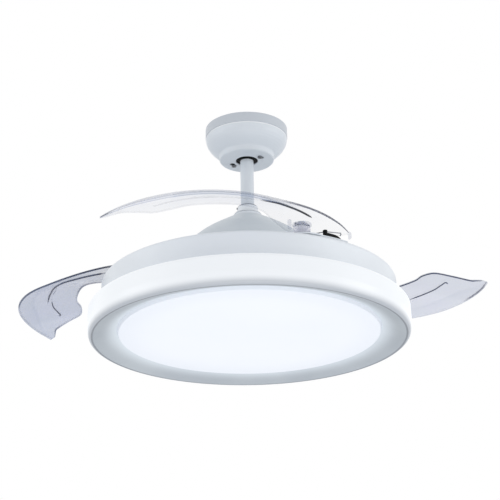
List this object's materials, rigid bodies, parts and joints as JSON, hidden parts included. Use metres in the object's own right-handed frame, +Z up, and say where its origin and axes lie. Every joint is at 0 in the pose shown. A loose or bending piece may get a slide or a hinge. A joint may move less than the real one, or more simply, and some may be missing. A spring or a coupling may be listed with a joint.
{
  "type": "ceiling fan",
  "caption": "Ceiling fan on a short downrod with clear folding blades above a round drum light with a glowing side ring, a silver cone and a flat opal diffuser.",
  "frame": {"origin": "centre of the flat ceiling face of the hanger bracket and canopy rim", "axes": "+Z up, out of the ceiling face; the fan hangs along -Z; -Y is the side seen in the picture, +X is to its right"},
  "size_m": [0.78, 0.6225, 0.369],
  "materials": {
    "white_paint": "satin powder coat, cool white",
    "dome_paint": "satin powder coat, cool white",
    "zinc_steel": "zinc plated",
    "black_metal": "blackened steel",
    "motor_aluminium": "cast and turned",
    "led_plate_aluminium": "white coated sheet",
    "copper_wire": "enamelled winding",
    "grey_plastic": "moulded",
    "white_plastic": "moulded",
    "black_rubber": "moulded",
    "spring_wire": "oiled spring wire",
    "ring_diffuser": "opal, lit from inside",
    "opal_diffuser": "opal, lit from inside",
    "silver_cone": "satin silver grey",
    "clear_blade": "clear polycarbonate with a faint blue-grey tint"
  },
  "bodies": {
    "ceiling_mount": {"ceiling_bracket": "zinc_steel", "canopy": "white_paint", "canopy_screws": "zinc_steel", "receiver_box": "grey_plastic", "terminal_block": "white_plastic"},
    "hanging_frame": {"hanger_ball": "black_metal", "hanger_pin": "zinc_steel", "downrod": "white_paint", "lead_grommet": "black_rubber", "supply_lead": "black_rubber", "rod_yoke": "black_metal", "yoke_pin": "zinc_steel", "coupling_cover": "white_paint", "cover_screw": "black_metal", "motor_shaft": "zinc_steel", "bearing_upper": "zinc_steel", "bearing_lower": "zinc_steel", "stator_core": "black_metal", "stator_windings": "copper_wire", "lamp_flange": "zinc_steel", "flange_screws": "zinc_steel", "shaft_nut": "zinc_steel", "lamp_housing": "white_paint", "plate_spacers": "zinc_steel", "led_plate": "led_plate_aluminium", "led_boards": "white_plastic", "led_driver": "grey_plastic", "light_ring": "ring_diffuser", "trim_cone": "silver_cone", "round_diffuser": "opal_diffuser"},
    "rotor": {"rotor_cup": "motor_aluminium", "rotor_shield": "motor_aluminium", "rotor_magnets": "black_metal", "rotor_screws": "zinc_steel", "blade_carrier": "white_paint", "dome_cover": "dome_paint", "dome_screws": "zinc_steel", "pivot_posts": "zinc_steel", "pivot_caps": "zinc_steel", "stop_posts": "black_rubber", "stop_bumpers": "black_rubber", "spring_front": "spring_wire", "spring_right": "spring_wire", "spring_left": "spring_wire"},
    "front_blade": {"blade_front": "clear_blade", "clamp_front": "clear_blade", "bush_front": "grey_plastic", "screws_front": "zinc_steel"},
    "right_blade": {"blade_right": "clear_blade", "clamp_right": "clear_blade", "bush_right": "grey_plastic", "screws_right": "zinc_steel"},
    "left_blade": {"blade_left": "clear_blade", "clamp_left": "clear_blade", "bush_left": "grey_plastic", "screws_left": "zinc_steel"}
  },
  "joints": [
    {"name": "hanger_tilt", "type": "hinge", "parent": "ceiling_mount", "child": "hanging_frame", "pos_m": [0, 0, -0.0381], "axis": [1, 0, 0], "range_deg": [-12, 12]},
    {"name": "rotor_spin", "type": "hinge", "parent": "hanging_frame", "child": "rotor", "pos_m": [0, 0, -0.2756], "axis": [0, 0, 1], "continuous": true},
    {"name": "front_blade_swing", "type": "hinge", "parent": "rotor", "child": "front_blade", "pos_m": [0.08044, -0.17489, -0.252], "axis": [0, 0, 1], "range_deg": [-44, 86]},
    {"name": "right_blade_swing", "type": "hinge", "parent": "rotor", "child": "right_blade", "pos_m": [0.11124, 0.15711, -0.252], "axis": [0, 0, 1], "range_deg": [-60.8, 69.2]},
    {"name": "left_blade_swing", "type": "hinge", "parent": "rotor", "child": "left_blade", "pos_m": [-0.19168, 0.01778, -0.252], "axis": [0, 0, 1], "range_deg": [-88.9, 41.1]}
  ]
}
